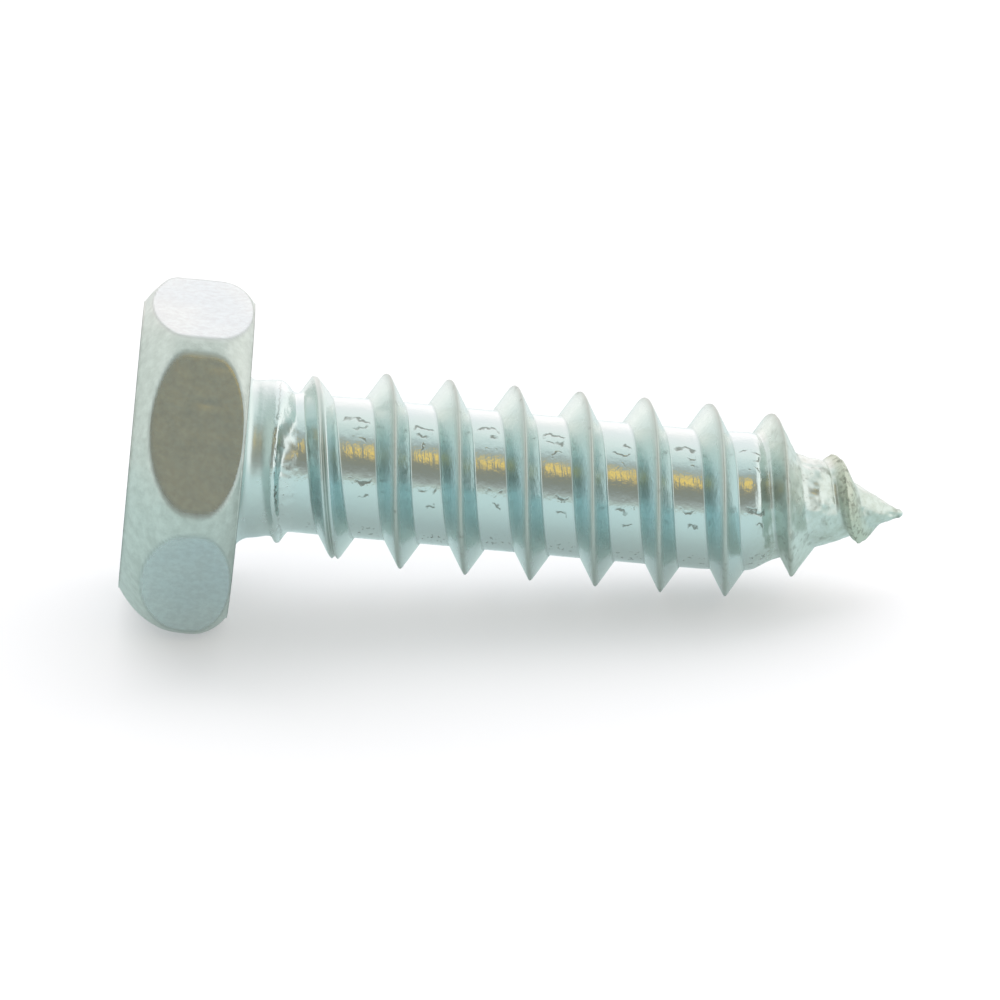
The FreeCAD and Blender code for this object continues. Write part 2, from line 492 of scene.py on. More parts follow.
class MeshParts:
    """Points, faces and zones of one mesh, gathered piece by piece."""

    def __init__(self):
        self.points = []
        self.faces = []
        self.zones = []
        self.count = 0

    def add(self, points, **zones):
        start = self.count
        self.points.append(np.asarray(points, float).reshape(-1, 3))
        rows = len(self.points[-1])
        self.zones.append({k: np.broadcast_to(np.ravel(v).astype(float), (rows,)) for k, v in zones.items()})
        self.count += rows
        return np.arange(start, self.count)

    def face(self, *corners):
        kept = [int(c) for i, c in enumerate(corners) if c != corners[i - 1]]
        if len(set(kept)) >= 3:
            self.faces.append(kept)

    def strip(self, a, b):
        """Faces between two closed rings of the same count."""
        for corners in zip(a, np.roll(a, -1), np.roll(b, -1), b):
            self.face(*corners)

    def fan(self, ring, pole, outward=True):
        for a, b in zip(ring, np.roll(ring, -1)):
            self.face(*((a, b, pole) if outward else (b, a, pole)))

    def double_strip(self, fine, coarse):
        """Faces between a ring and one with half its count."""
        ends = np.roll(fine[::2], -1)
        for a, b, c, near, far in zip(fine[::2], fine[1::2], ends, coarse, np.roll(coarse, -1)):
            self.face(a, b, near)
            self.face(b, c, far)
            self.face(b, far, near)


def turn_before_tip(shank, thread, distance):
    """Turn of the thread at this distance in metres from the tip."""
    return (mm(shank.length) - mm(distance) - mm(thread.first_crest)) / mm(thread.pitch)


def starting_ridge(turn, offset, slope):
    """Radius of the ridge where it grows out of the neck, with the groove that doubles its crest."""
    land = np.interp(turn, *RUN_IN_LANDS)
    lean = 1 - RUN_IN_LEAN * bump(turn, *RUN_IN_LEAN_AT) * (offset > 0)
    ridge = np.interp(turn, *RUN_IN_RADII) - lean * np.maximum(np.abs(offset) - land, 0) / slope
    groove = GROOVE_DEPTH * smooth_step(turn, *GROOVE_OPENS) * smooth_step(turn, *GROOVE_CLOSES)
    return ridge - groove * bump(offset, 0.0, GROOVE_HALF_WIDTH)


def thread_ridge(shank, thread, turn, offset):
    """Radius of the ridge at this turn and this distance from its crest line."""
    away = np.abs(offset)
    slope = math.tan(thread.flank_angle / 2)
    tapers = turn_before_tip(shank, thread, thread.taper_length)
    end = turn_before_tip(shank, thread, thread.bare_point)
    fall = np.maximum(turn - tapers, 0) * mm(thread.pitch) * math.tan(thread.taper_angle / 2)
    fall = fall + LOW_CREST_DROP * bump(turn, *LOW_CREST_AT)
    fade = RUN_OUT_DROP * smooth_step(turn, end - RUN_OUT_TURNS, end)
    top = mm(thread.major_diameter) / 2 - fall - fade
    worn = smooth_step(turn, *WORN_FORM_FROM)
    land = mm(thread.crest_land) / 2 + WORN_LAND * worn
    full = top - np.maximum(away - land, 0) / slope
    full = smooth_min(full, top - CREST_CROWNING * away, RIDGE_SOFTNESS)
    ridge = smooth_min(full, starting_ridge(turn, offset, slope), RIDGE_SOFTNESS)
    ridge = ridge - WORN_EDGE_DROP * worn * bump(away, land, WORN_EDGE_HALF_WIDTH)
    return np.where((turn < RUN_IN_START) | (turn > end), 0, ridge)


def seam_place(shank, turn):
    """How far along the neck ends at this share of a turn."""
    a = 2 * np.pi * turn
    place = mm(shank.neck_length) + mm(shank.neck_slant) * np.cos(a - SEAM_SLANT_START)
    for height, waves, start in SEAM_WAVES:
        place = place + height * np.sin(waves * a + start)
    return place


def core_surface(shank, along, turn):
    """Radius of the neck, the root cylinder and the cone."""
    neck_radius = mm(shank.neck_diameter) / 2
    neck = neck_radius - NECK_SINK - mm(shank.neck_rise) * np.cos(2 * np.pi * turn)
    root = mm(shank.root_diameter) / 2
    half = shank.point_angle / 2
    apex = mm(shank.length) + mm(shank.tip_radius) * (1 / math.sin(half) - 1)
    cone = (apex - along) * math.tan(half) + CONE_SWELL * bump(along, *CONE_SWELL_AT)
    body = smooth_min(np.full_like(along, root), cone, CONE_SOFTNESS)
    seam = seam_place(shank, turn)
    front = round_bump(turn, *LIP_AT)
    lip = LIP_RISE * front * np.clip((along - LIP_START) / (seam - LIP_START), 0, 1) ** LIP_CURVE
    step_end = seam + STEP_LENGTH + STEP_LENGTH_ON_TOP * round_bump(turn, *STEP_TOP_AT)
    step = smooth_step(along, seam, step_end)
    settled = smooth_step(along, *NECK_FROM_HEAD)
    radius = body + (neck_radius - root) * (1 - settled) + (neck + lip - root) * (1 - step) * settled
    shelf_ends, shelf_full = (seam + past for past in SHELF_FALLS)
    shelf = SHELF_RISE * smooth_step(along, seam, seam + SHELF_RISES_BY)
    shelf = shelf * smooth_step(along, shelf_ends, shelf_full)
    radius = radius + shelf * round_bump(turn, *SHELF_AT)
    radius = radius - UNDERCUT_DEPTH * front * bump(along, seam + UNDERCUT_PAST_SEAM, UNDERCUT_HALF_WIDTH)
    for rise, on_axis, on_turn in BULGES:
        radius = radius + rise * bump(along, *on_axis) * round_bump(turn, *on_turn)
    return radius


def row_offsets(thread):
    """Distances from the crest line at which the mesh has its rows, over one pitch."""
    before = [-distance for distance in reversed(ROWS_FROM_CREST)]
    return [*before, 0.0, *ROWS_FROM_CREST, mm(thread.pitch) / 2]


def at_least(least, share):
    """A share from 0 to 1, brought to between least and 1."""
    return least + (1 - least) * share


def shank_surface(shank, thread, along, turn_share):
    """Points and zones of the mesh on the neck, the thread and the cone."""
    pitch = mm(thread.pitch)
    first = mm(thread.first_crest)
    fillet = mm(shank.fillet)
    pitches = (along - first) / pitch - turn_share
    lane = np.floor(pitches)
    turn = np.round(pitches) + turn_share
    offset = along - first - pitch * turn
    core = core_surface(shank, along, turn_share)
    ridge = thread_ridge(shank, thread, turn, offset)
    radius = smooth_max(core, ridge, ROOT_SOFTNESS)
    stands = ridge - core
    on_crest = np.clip(stands / RIDGE_HEIGHT, 0, 1) * bump(offset, 0, CREST_HALF_WIDTH)
    worn = smooth_step(turn, *WORN_FINISH_FROM)
    on_worn = worn * np.clip(stands / WORN_HEIGHT, 0, 1)
    seam = seam_place(shank, turn_share)
    crinkle = bump(along, seam + CRINKLE_PAST_SEAM, CRINKLE_HALF_LENGTH) * (along > seam)
    crinkle = crinkle * at_least(CRINKLE_LEAST, round_bump(turn_share, *CRINKLE_AT))
    last_land = at_least(LAST_LAND_LEAST, round_bump(turn_share, *LAST_LAND_AT))
    last_land = last_land * bump(along, *LAST_LAND_ALONG)
    rough_end = smooth_step(along, *ROUGH_END_FROM)

    raw = ring_points(along, radius, turn_share)
    grains = [grain(raw, size, seed) for seed, size in enumerate(GRAIN_SIZES, SHANK_SEED)]
    push = mixed_grain(grains, ROLLED_GRAIN)
    push += crinkle * mixed_grain(grains, CRINKLE_GRAIN)
    push += last_land * mixed_grain(grains, LAST_LAND_GRAIN)
    push += rough_end * mixed_grain(grains, ROUGH_END_GRAIN)
    push += smooth_step(along, *BARE_POINT_FROM) * mixed_grain(grains, BARE_POINT_GRAIN)
    push -= on_crest * CREST_NICK_DEPTH * np.clip(grains[1] + CREST_NICK_SHARE, 0, 1)
    push = push * (1 - WORN_SMOOTHING * on_worn) + on_worn * mixed_grain(grains, WORN_GRAIN)
    calm = smooth_step(along, fillet, fillet + CALM_LENGTH)

    stray = STRAY_WAVE * np.sin(2 * np.pi * turn + STRAY_WAVE_START)
    stray += STRAY_IN_FRONT * round_bump(turn_share, *STRAY_FRONT_AT)
    for distance, on_thread in STRAYS:
        stray += distance * bump(turn, *on_thread)
    moved = along + stray * smooth_step(np.abs(offset), *STRAY_REACH) * calm

    on_lands = along > LANDS_START
    zones = {
        "bright": 1 - BRIGHT_LOST_AT_END * rough_end,
        "crest": on_crest * (1 - worn),
        "flank": smooth_step(stands, *FLANK_FROM) * (1 - on_crest) * (1 - worn),
        # The front, where a bluish reflection is painted on the flanks
        "blued": round_bump(turn_share, *PAINTED_BLUE_REFLECTION_AT) * (1 - PAINTED_BLUE_REFLECTION_LOST_AT_END * rough_end),
        # The ridge's foot, which gets painted shade
        "foot": bump(stands, 0, FOOT_HALF_WIDTH) * on_lands,
        # Front side of the lap, where its line is stain and painted shade
        "seam_dark": at_least(SEAM_STAIN_AND_SHADE_LEAST, round_bump(turn_share, *SEAM_STAIN_AND_SHADE_AT)),
        "worn": on_worn,
        "point": rough_end,
        "crinkle": np.clip(crinkle + LAST_LAND_CRINKLE * last_land, 0, 1),
        "land": smooth_step(np.abs(offset), *LAND_FROM_CREST) * on_lands * smooth_step(along, *LANDS_END),
        "land_turn": lane + turn_share,
        "land_across": (pitches - lane - 0.5) * pitch,
        "from_seam": along - seam,
    }
    return ring_points(moved, radius + push * calm, turn_share), zones


def join_rows(parts, ids, rows_per_pitch):
    """Faces between the shank's rows, each of which climbs by one pitch in its turn."""
    for i in range(len(ids) - 1):
        low, high = ids[i], ids[i + 1]
        for j in range(len(low) - 1):
            parts.face(low[j], low[j + 1], high[j + 1], high[j])
        ahead = i + rows_per_pitch
        if ahead + 1 < len(ids):
            parts.face(low[-1], ids[ahead][0], ids[ahead + 1][0], high[-1])


def close_tip(parts, shank, ring, turn):
    """Blunt, round end of the point."""
    tip = mm(shank.tip_radius)
    end = mm(shank.length) - TIP_SET_BACK
    for k in range(1, TIP_RINGS):
        a = (math.pi / 2 - shank.point_angle / 2) * (1 - k / TIP_RINGS)
        following = parts.add(level_ring(end - tip * (1 - math.cos(a)), tip * math.sin(a), turn), **AT_TIP)
        parts.strip(ring, following)
        ring = following
    pole = parts.add([[end, 0, 0]], **AT_TIP)[0]
    parts.fan(ring, pole)


def shank_mesh(parts, shank, thread):
    """Neck, thread and point. Returns the ring at the end of the fillet."""
    pitch = mm(thread.pitch)
    start = mm(shank.fillet)
    end = mm(shank.length) - mm(shank.tip_radius) * (1 - math.sin(shank.point_angle / 2)) - END_MARGIN
    offsets = row_offsets(thread)
    crests = [mm(thread.first_crest) + pitch * k for k in range(-2, int(end / pitch) + 1)]
    rows = np.array([crest + offset for crest in crests for offset in offsets])
    turn = np.arange(shank.columns) / shank.columns
    along = rows[:, None] + pitch * turn[None, :]
    at_start = along <= start + ROW_MARGIN
    at_end = along >= end - ROW_MARGIN
    inner = ~(at_start | at_end)
    points, zones = shank_surface(shank, thread, along[inner], np.broadcast_to(turn, along.shape)[inner])
    ids = np.full(along.shape, -1)
    ids[inner] = parts.add(points, **zones)
    neck_end = level_ring(start, mm(shank.neck_diameter) / 2, turn)
    first_ring = parts.add(neck_end, bright=1, from_seam=FILLET_FROM_SEAM)
    cone_end = core_surface(shank, np.full_like(turn, end), turn)
    last_ring = parts.add(level_ring(end, cone_end, turn), **AT_TIP)
    ids = np.where(at_start, first_ring, ids)
    ids = np.where(at_end, last_ring, ids)
    join_rows(parts, ids, len(offsets))
    close_tip(parts, shank, last_ring, turn)
    return first_ring


def crown_arc(span, drop, distance):
    """How far an arc that falls by drop over span has fallen at this distance from its level start."""
    radius = (span ** 2 + drop ** 2) / (2 * drop)
    return radius - np.sqrt(np.maximum(radius ** 2 - np.clip(distance, 0, span) ** 2, 0))


def blank_radius(head, along, turn):
    """Radius of the round blank before its flats are pressed: along is negative into the head."""
    crown = mm(head.crown_diameter) / 2
    shoulder_length, bevel_length = mm(head.shoulder_length), mm(head.bevel_length)
    shoulder = crown - crown_arc(shoulder_length, mm(head.shoulder_drop), along + shoulder_length)
    bar = crown + mm(head.bevel_stand_off)
    into_bevel = -along - (mm(head.height) - bevel_length)
    bevel = bar - crown_arc(bevel_length, mm(head.bevel_drop), into_bevel)
    up, back = mm(head.bevel_shift_up), mm(head.bevel_shift_back)
    a = 2 * np.pi * turn
    toward = up * -np.cos(a) + back * np.sin(a)
    side = up * np.sin(a) + back * np.cos(a)
    shifted = toward + np.sqrt(np.maximum(bevel ** 2 - side ** 2, 0))
    shouldered = smooth_min(np.full_like(along, crown), shoulder, BLANK_SOFTNESS)
    return smooth_min(shouldered, shifted, BLANK_SOFTNESS)


def head_wall(head, along, turn):
    """Radius of the head's side at one place along it, and how far each column is on a flat."""
    sector = (turn * 6 + 0.5) % 1 - 0.5
    flat_radius = mm(head.across_flats) / 2 / np.cos(sector * math.pi / 3)
    blank = blank_radius(head, np.full_like(turn, along), turn)
    flatness = smooth_step(blank - flat_radius, *FLAT_FROM)
    return smooth_min(blank, flat_radius, mm(head.edge_softness)), flatness


def uneven_wall(head, along, turn):
    """Points and zones of the head's side at one place along it, with its grain and its dents."""
    radius, flatness = head_wall(head, along, turn)
    raw = level_ring(along, radius, turn)
    grains = [grain(raw, size, seed) for seed, size in enumerate(HEAD_GRAIN_SIZES, HEAD_SEED)]
    radius = radius + (1 - flatness) * mixed_grain(grains, ROUND_GRAIN)
    radius = radius + flatness * mixed_grain(grains, FLAT_GRAIN)
    for on_axis, place, depth in DENTS:
        radius = radius - depth * bump(along, *on_axis) * round_bump(turn, place, DENT_HALF_WIDTH)
    zones = {"pressed": flatness, "rounded": 1 - flatness, "rim": 4 * flatness * (1 - flatness)}
    return level_ring(along, radius, turn), zones


def under_head(parts, shank, ring, rim_radius, turn, neck_ring):
    """Bearing face from the ring at its rim inwards, and the fillet down to the ring on the neck."""
    fillet = mm(shank.fillet)
    neck = mm(shank.neck_diameter) / 2
    foot = neck + fillet
    for share in BEARING_FACE_RINGS:
        following = parts.add(level_ring(0, foot + (rim_radius - foot) * share, turn), **BEARING_FACE)
        parts.strip(ring, following)
        ring = following
    neck_turn = np.arange(shank.columns) / shank.columns
    coarse = parts.add(level_ring(0, foot, neck_turn), rounded=FILLET_ROUNDED)
    parts.double_strip(ring, coarse)
    ring = coarse
    for k in range(1, FILLET_RINGS):
        a = math.pi / 2 * k / FILLET_RINGS
        points = level_ring(fillet * (1 - math.cos(a)), neck + fillet * (1 - math.sin(a)), neck_turn)
        following = parts.add(points, bright=k / FILLET_RINGS, from_seam=FILLET_FROM_SEAM)
        parts.strip(ring, following)
        ring = following
    parts.strip(ring, neck_ring)


def head_mesh(parts, head, shank, neck_ring):
    """Round blank with six pressed flats, its outer face, its bearing face and the fillet to the neck."""
    height = mm(head.height)
    turn = np.arange(head.columns) / head.columns
    edge = math.acos(1 - 2 * RIM_DEPTH / height)
    places = -height * (0.5 - 0.5 * np.cos(np.linspace(edge, math.pi - edge, SIDE_RINGS)))
    bearing_radius, _ = head_wall(head, places[0], turn)
    outer_radius, _ = head_wall(head, places[-1], turn)
    sunk = [places[0] * (1 - math.sin(math.pi / 2 * k / RIM_RINGS)) for k in range(RIM_RINGS)]
    rings = [parts.add(level_ring(by, bearing_radius + by, turn), rounded=RIM_ROUNDED) for by in sunk]
    for along in places:
        points, zones = uneven_wall(head, along, turn)
        rings.append(parts.add(points, **zones))
    for by in reversed(sunk):
        rings.append(parts.add(level_ring(-height - by, outer_radius + by, turn), rounded=RIM_ROUNDED))
    for a, b in zip(rings, rings[1:]):
        parts.strip(b, a)
    centre = parts.add([[-height, 0, 0]], **OUTER_FACE)[0]
    ring = rings[-1]
    for share in OUTER_FACE_RINGS:
        following = parts.add(level_ring(-height, (outer_radius - RIM_DEPTH) * share, turn), **OUTER_FACE)
        parts.strip(following, ring)
        ring = following
    parts.fan(ring, centre, outward=False)
    under_head(parts, shank, rings[0], bearing_radius - RIM_DEPTH, turn, neck_ring)


def bend_point(points, head, shank):
    """Lower the head, and lift the shank a little off the head's axis and the point off the shank's."""
    at_shank = smooth_step(points[:, 0], *SHANK_LIFTS)
    lift = mm(shank.shank_rise) * at_shank - mm(head.drop) * (1 - at_shank)
    lift = lift + mm(shank.bend) * smooth_step(points[:, 0], *POINT_BENDS)
    moved = points.copy()
    moved[:, 2] += lift
    return moved


def closed_mesh(name, parts, points):
    """One closed mesh of the parts at these points, which hold a value for every zone."""
    mesh = bpy.data.meshes.new(name)
    mesh.from_pydata(points.tolist(), [], parts.faces)
    for zone, usual in ZONES.items():
        given = [z.get(zone, np.full(len(p), usual)) for z, p in zip(parts.zones, parts.points)]
        values = np.concatenate(given).astype(np.float32)
        mesh.attributes.new(zone, "FLOAT", "POINT").data.foreach_set("value", values)
    work = bmesh.new()
    work.from_mesh(mesh)
    bmesh.ops.dissolve_degenerate(work, dist=SHORTEST_EDGE, edges=work.edges)
    loose = [v for v in work.verts if not v.link_faces]
    bmesh.ops.delete(work, geom=loose, context="VERTS")
    bmesh.ops.recalc_face_normals(work, faces=work.faces)
    open_edges = sum(len(e.link_faces) != 2 for e in work.edges)
    work.to_mesh(mesh)
    work.free()
    if open_edges:
        raise RuntimeError(f"the screw's mesh has {open_edges} open edges")
    mesh.shade_smooth()
    return mesh


class SCREW_OT_body(bpy.types.Operator):
    """Make the whole screw as one mesh: pressed head, neck, rolled thread and point"""

    bl_idname = "screw.body"
    bl_label = "Screw"

    def execute(self, context):
        scene = context.scene
        parts = MeshParts()
        neck_ring = shank_mesh(parts, scene.screw_shank, scene.screw_thread)
        head_mesh(parts, scene.screw_head, scene.screw_shank, neck_ring)
        points = bend_point(np.concatenate(parts.points), scene.screw_head, scene.screw_shank)
        mesh = closed_mesh("sheet_metal_screw_finish", parts, Frame().place(points))
        screw = bpy.data.objects.new("hex_head_screw", mesh)
        scene.collection.objects.link(screw)
        mesh.materials.append(zinc_plate(scene.screw_colours))
        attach(screw, "root")
        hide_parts(NODE)
        return {"FINISHED"}


def node_tree(owner):
    owner.use_nodes = True
    tree = owner.node_tree
    tree.nodes.clear()
    return tree


def add_node(tree, kind, inputs=(), **settings):
    """A node with these settings. Its inputs, by name or number, take numbers, colours or other sockets."""
    made = tree.nodes.new(kind)
    for name, value in settings.items():
        setattr(made, name, value)
    for name, value in dict(inputs).items():
        if isinstance(value, (int, float)):
            made.inputs[name].default_value = value
        elif isinstance(value, (tuple, list)):
            made.inputs[name].default_value = (*value, 1.0)[:4]
        else:
            tree.links.new(value, made.inputs[name])
    return made


def zone_value(tree, name):
    return add_node(tree, "ShaderNodeAttribute", attribute_name=name).outputs["Fac"]


def noise_value(tree, coordinate, scale, detail, roughness):
    inputs = {"Vector": coordinate, "Scale": scale, "Detail": detail, "Roughness": roughness}
    return add_node(tree, "ShaderNodeTexNoise", inputs).outputs["Fac"]


def mapped(tree, value, low, high, to_low=0.0, to_high=1.0):
    """A value between low and high, brought to between two others and held there."""
    inputs = {"Value": value, "From Min": low, "From Max": high, "To Min": to_low, "To Max": to_high}
    return add_node(tree, "ShaderNodeMapRange", inputs).outputs["Result"]


def maths(tree, operation, a, b=0):
    return add_node(tree, "ShaderNodeMath", {0: a, 1: b}, operation=operation).outputs["Value"]


def combined(tree, operation, *values):
    """All the values taken together, one after the other, by one operation."""
    total, *others = values
    for value in others:
        total = maths(tree, operation, total, value)
    return total


def times(tree, *values):
    return combined(tree, "MULTIPLY", *values)


def blended(tree, factor, a, b, kind="RGBA"):
    first, second, result = {"FLOAT": (2, 3, 0), "RGBA": (6, 7, 2)}[kind]
    return add_node(tree, "ShaderNodeMix", {0: factor, first: a, second: b}, data_type=kind).outputs[result]


def split_place(tree, kind):
    """The three parts of a place or a direction."""
    place = add_node(tree, "ShaderNodeTexCoord").outputs[kind]
    return add_node(tree, "ShaderNodeSeparateXYZ", {0: place}).outputs


def camera_sees(tree):
    return add_node(tree, "ShaderNodeLightPath").outputs["Is Camera Ray"]


def finish_values(tree):
    """What the finish is worked out from, by name: each zone of the mesh, each grain and what they give."""
    place = add_node(tree, "ShaderNodeTexCoord").outputs["Object"]
    values = {name: zone_value(tree, name) for name in ZONES}
    values.update({name: noise_value(tree, place, *kind) for name, kind in GRAINS.items()})
    # Flanks on the front, where a bluish reflection is painted
    values["painted_blue_reflection_on_flanks"] = times(tree, values["flank"], values["blued"])
    values["rubbed"] = maths(tree, "MAXIMUM", values["crest"], values["worn"])
    values["marks"] = die_marks(tree, values)
    values["seam"] = seam_line(tree, values)
    return values


def patchy(tree, values, zone, broken_by, span, most):
    """A zone up to most, broken up by a grain over this span of its values where one is named."""
    if broken_by is None:
        return times(tree, values[zone], most)
    patches = mapped(tree, values[broken_by], *span, 0.0, most)
    return patches if zone is None else times(tree, values[zone], patches)


def line_mark(tree, turn_share, across, place, reach, bow, width):
    """A thin curved scratch across a land at this share of a turn, from 0 to 1."""
    squared = times(tree, across, across)
    curve = maths(tree, "ADD", times(tree, squared, bow), place)
    away = maths(tree, "ABSOLUTE", maths(tree, "SUBTRACT", turn_share, curve))
    line = mapped(tree, away, width, width * SCRATCH_CORE)
    ends = mapped(tree, maths(tree, "ABSOLUTE", across), reach, reach * SCRATCH_FULL_REACH)
    return times(tree, line, ends)


def die_marks(tree, values):
    """Scratches and pits that the rolling dies left at the same places of each turn, from 0 to 1."""
    inputs = {"W": maths(tree, "FLOOR", values["land_turn"])}
    lane = add_node(tree, "ShaderNodeTexWhiteNoise", inputs, noise_dimensions="1D")
    shift = mapped(tree, lane.outputs["Value"], 0, 1, -SCRATCH_SHIFT_PER_TURN, SCRATCH_SHIFT_PER_TURN)
    ripple = mapped(tree, values["ripple"], *GRAIN_SPREAD, -SCRATCH_RIPPLE, SCRATCH_RIPPLE)
    turn_share = maths(tree, "FRACT", maths(tree, "ADD", values["land_turn"], TURNS_ADDED))
    wavy = combined(tree, "ADD", turn_share, ripple, shift)
    gaps = mapped(tree, values["gaps"], *GAP_SPAN)
    pits = mapped(tree, values["pits"], *PIT_SPAN)
    marks = []
    for scratch in DIE_SCRATCHES:
        mark = line_mark(tree, wavy, values["land_across"], *scratch)
        marks.append(times(tree, mark, gaps))
    for place, width in DIE_PITS:
        away = maths(tree, "ABSOLUTE", maths(tree, "SUBTRACT", wavy, place))
        marks.append(times(tree, mapped(tree, away, width, 0), pits))
    return times(tree, combined(tree, "MAXIMUM", *marks), values["land"])


def rolling_lines(tree, values):
    """Fine lines that the dies drew round the lands, as a height from 0 to 1."""
    across = times(tree, values["land_across"], ROLLING_LINES_ACROSS)
    around = times(tree, values["land_turn"], ROLLING_LINES_AROUND)
    run = add_node(tree, "ShaderNodeCombineXYZ", {"X": across, "Y": around})
    lines = noise_value(tree, run.outputs["Vector"], *ROLLING_LINES_GRAIN)
    return times(tree, lines, values["land"])


def seam_line(tree, values):
    """Thin, broken dark line along the lap at the end of the neck, from 0 to 1: stain in the lap, and painted
    shade in its crevice that is darkest on the front.
    """
    wave = mapped(tree, values["speck"], *GRAIN_SPREAD, -SEAM_LINE_WAVE, SEAM_LINE_WAVE)
    past_line = maths(tree, "SUBTRACT", values["from_seam"], SEAM_LINE_PAST_SEAM)
    away = maths(tree, "ABSOLUTE", maths(tree, "ADD", past_line, wave))
    line = mapped(tree, away, *SEAM_LINE_HALF_WIDTHS)
    broken = mapped(tree, values["coarse"], *GAP_SPAN, 0.0, SEAM_LINE_DARKNESS)
    return times(tree, line, broken, values["seam_dark"])


def stains(tree, values):
    """Dirt in the worn places and the dies' marks, and the lap's line of stain and painted shade, from 0 to
    1.
    """
    dirt = [patchy(tree, values, *kind) for kind in DIRT]
    marks = times(tree, values["marks"], MARK_STAIN)
    return combined(tree, "MAXIMUM", *dirt, values["seam"], marks)


def plate_tint(tree, values, stained, colours):
    """The plate's colour: three kinds of zinc, then the tints over them, with a painted reflection and
    painted shade among them, and the stain over all, which holds painted shade in the lap.
    """
    tint = blended(tree, values["rounded"], tuple(colours.plate), tuple(colours.matt_plate))
    tint = blended(tree, values["pressed"], tint, tuple(colours.flat_plate))
    for *where, shade in TINTS:
        tint = blended(tree, patchy(tree, values, *where), tint, shade)
    return blended(tree, stained, tint, tuple(colours.stain))


def plate_roughness(tree, values, stained):
    neck = mapped(tree, values["from_seam"], *NECK_BEFORE_SEAM)
    rough = blended(tree, neck, LAND_ROUGHNESS, NECK_ROUGHNESS, "FLOAT")
    for zone, roughness in ROUGHNESS:
        rough = blended(tree, values[zone], rough, roughness, "FLOAT")
    uneven = mapped(tree, values["coarse"], *GRAIN_SPREAD, *ROUGHNESS_SPREAD)
    return combined(tree, "ADD", rough, uneven, times(tree, stained, STAIN_ROUGHNESS))


def plate_relief(tree, values):
    """Height of what is too fine for the mesh: grain, rolling lines, and the marks and the lap let in."""
    amount = mapped(tree, values["rounded"], 0, 1, ROLLED_RELIEF, ROUND_RELIEF)
    ground = times(tree, values["fine"], amount)
    rolled = times(tree, values["bright"], values["speck"])
    lines = times(tree, rolling_lines(tree, values), LINE_RELIEF)
    let_in = times(tree, maths(tree, "MAXIMUM", values["marks"], values["seam"]), MARK_RELIEF)
    return maths(tree, "SUBTRACT", combined(tree, "ADD", ground, rolled, lines), let_in)


def zinc_plate(colours):
    """Bright zinc plate: mirror-like where rolled, matt where tumbled, faintly grained where pressed."""
    material = bpy.data.materials.new("zinc_plate")
    tree = node_tree(material)
    values = finish_values(tree)
    stained = stains(tree, values)
    height = plate_relief(tree, values)
    inputs = {"Strength": RELIEF_STRENGTH, "Distance": RELIEF_METRES, "Height": height}
    inputs = {
        "Metallic": 1.0,
        "Base Color": plate_tint(tree, values, stained, colours),
        "Roughness": plate_roughness(tree, values, stained),
        "Normal": add_node(tree, "ShaderNodeBump", inputs).outputs["Normal"],
    }
    shader = add_node(tree, "ShaderNodeBsdfPrincipled", inputs)
    add_node(tree, "ShaderNodeOutputMaterial", {"Surface": shader.outputs["BSDF"]})
    return material


def pale_floor(colours):
    """Pale matt sheet that glows a little, paler to the camera and behind the screw than under it."""
    material = bpy.data.materials.new("pale_floor")
    tree = node_tree(material)
    sheet = add_node(tree, "ShaderNodeBsdfDiffuse", {"Color": tuple(colours.floor)})
    paler = add_node(tree, "ShaderNodeBsdfDiffuse", {"Color": tuple(colours.floor_seen)})
    glow = add_node(tree, "ShaderNodeEmission", {"Strength": colours.floor_glow})
    behind = mapped(tree, split_place(tree, "Object")["Y"], *FLOOR_PALER_BEHIND)
    pale = maths(tree, "MAXIMUM", camera_sees(tree), behind)
    mix = add_node(tree, "ShaderNodeMixShader", {0: pale, 1: sheet.outputs["BSDF"], 2: paler.outputs["BSDF"]})
    lit = add_node(tree, "ShaderNodeAddShader", {0: mix.outputs["Shader"], 1: glow.outputs["Emission"]})
    add_node(tree, "ShaderNodeOutputMaterial", {"Surface": lit.outputs["Shader"]})
    return material


def room_colour(shade):
    """A colour of the room, as a share of the room's level."""
    return tuple(part / ROOM_LEVEL for part in shade)


def colour_ramp(tree, value, stops):
    """Colours along a value. The stops give the value and the colour, from the lowest to the highest."""
    low, high = stops[0][0], stops[-1][0]
    ramp = add_node(tree, "ShaderNodeValToRGB", {"Fac": mapped(tree, value, low, high)})
    elements = ramp.color_ramp.elements
    while len(elements) < len(stops):
        elements.new(0.5)
    for element, (where, shade) in zip(elements, stops):
        element.position = (where - low) / (high - low)
        element.color = (*room_colour(shade), 1)
    return ramp.outputs["Color"]


def studio_world():
    """Soft white room, brighter behind and above, dim on the viewing side but for one warm patch.

    The camera itself sees plain white.
    """
    world = bpy.data.worlds.new("studio")
    tree = node_tree(world)
    x, y, z = split_place(tree, "Generated")
    over = maths(tree, "DEGREES", maths(tree, "ARCTAN2", z, times(tree, y, -1.0)))
    beside = mapped(tree, maths(tree, "ABSOLUTE", x), *SIDES_FROM)
    seen = blended(tree, beside, colour_ramp(tree, over, ROOM_ARCH), colour_ramp(tree, z, ROOM_SIDES))
    seen = blended(tree, mapped(tree, x, *POINT_SIDE_FROM), seen, room_colour(POINT_SIDE))
    edges = [mapped(tree, over, *WARM_STARTS), mapped(tree, over, *WARM_ENDS)]
    edges += [mapped(tree, x, *edge) for edge in WARM_EDGES_ACROSS]
    seen = blended(tree, times(tree, *edges), seen, room_colour(WARM_PATCH))
    light = add_node(tree, "ShaderNodeBackground", {"Color": seen, "Strength": ROOM_LEVEL})
    white = add_node(tree, "ShaderNodeBackground", {"Color": (1, 1, 1), "Strength": 1.0})
    inputs = {0: camera_sees(tree), 1: light.outputs["Background"], 2: white.outputs["Background"]}
    mix = add_node(tree, "ShaderNodeMixShader", inputs)
    add_node(tree, "ShaderNodeOutputWorld", {"Surface": mix.outputs["Shader"]})
    return world


